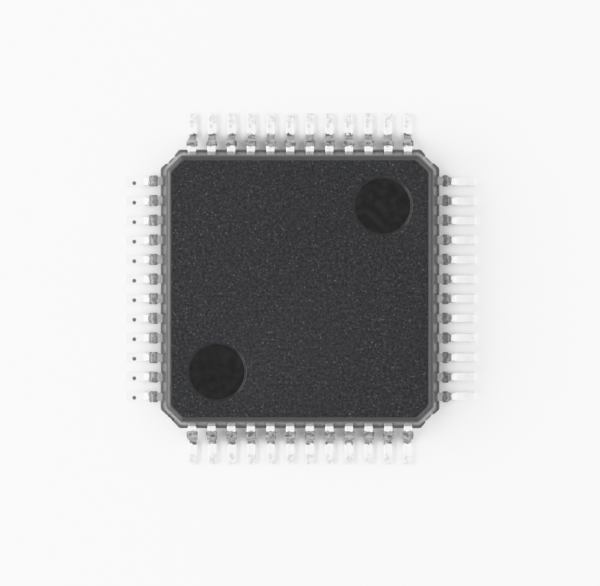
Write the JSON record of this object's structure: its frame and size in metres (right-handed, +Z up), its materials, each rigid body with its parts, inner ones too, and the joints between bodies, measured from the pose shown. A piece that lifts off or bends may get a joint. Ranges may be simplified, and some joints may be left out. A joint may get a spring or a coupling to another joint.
{
  "type": "quad flat pack integrated circuit",
  "caption": "Thin square moulded chip with chamfered corners and fine gull-wing leads on all four sides, for surface mounting on a circuit board.",
  "frame": {"origin": "centre of the body, on the plane that the lead feet stand on", "axes": "+Z up, out of the top face; +X and +Y square to the sides of the body; lead_01 is at the -X end of the -Y side"},
  "size_m": [0.009, 0.009, 0.0015],
  "materials": {
    "mould_compound": "matte, finely speckled",
    "lead_tin": "matte tin plating",
    "pad_copper": "satin copper alloy",
    "attach_glue": "matte silver-filled glue",
    "silicon": "polished silicon",
    "bond_gold": "bright gold"
  },
  "bodies": {
    "root": {"body": "mould_compound", "die_pad": "pad_copper", "die_attach": "attach_glue", "die": "silicon", "bond_wires_south": "bond_gold", "bond_wires_east": "bond_gold", "bond_wires_north": "bond_gold", "bond_wires_west": "bond_gold", "lead_01": "lead_tin", "lead_02": "lead_tin", "lead_03": "lead_tin", "lead_04": "lead_tin", "lead_05": "lead_tin", "lead_06": "lead_tin", "lead_07": "lead_tin", "lead_08": "lead_tin", "lead_09": "lead_tin", "lead_10": "lead_tin", "lead_11": "lead_tin", "lead_12": "lead_tin", "lead_13": "lead_tin", "lead_14": "lead_tin", "lead_15": "lead_tin", "lead_16": "lead_tin", "lead_17": "lead_tin", "lead_18": "lead_tin", "lead_19": "lead_tin", "lead_20": "lead_tin", "lead_21": "lead_tin", "lead_22": "lead_tin", "lead_23": "lead_tin", "lead_24": "lead_tin", "lead_25": "lead_tin", "lead_26": "lead_tin", "lead_27": "lead_tin", "lead_28": "lead_tin", "lead_29": "lead_tin", "lead_30": "lead_tin", "lead_31": "lead_tin", "lead_32": "lead_tin", "lead_33": "lead_tin", "lead_34": "lead_tin", "lead_35": "lead_tin", "lead_36": "lead_tin", "lead_37": "lead_tin", "lead_38": "lead_tin", "lead_39": "lead_tin", "lead_40": "lead_tin", "lead_41": "lead_tin", "lead_42": "lead_tin", "lead_43": "lead_tin", "lead_44": "lead_tin", "lead_45": "lead_tin", "lead_46": "lead_tin", "lead_47": "lead_tin", "lead_48": "lead_tin"}
  },
  "joints": []
}
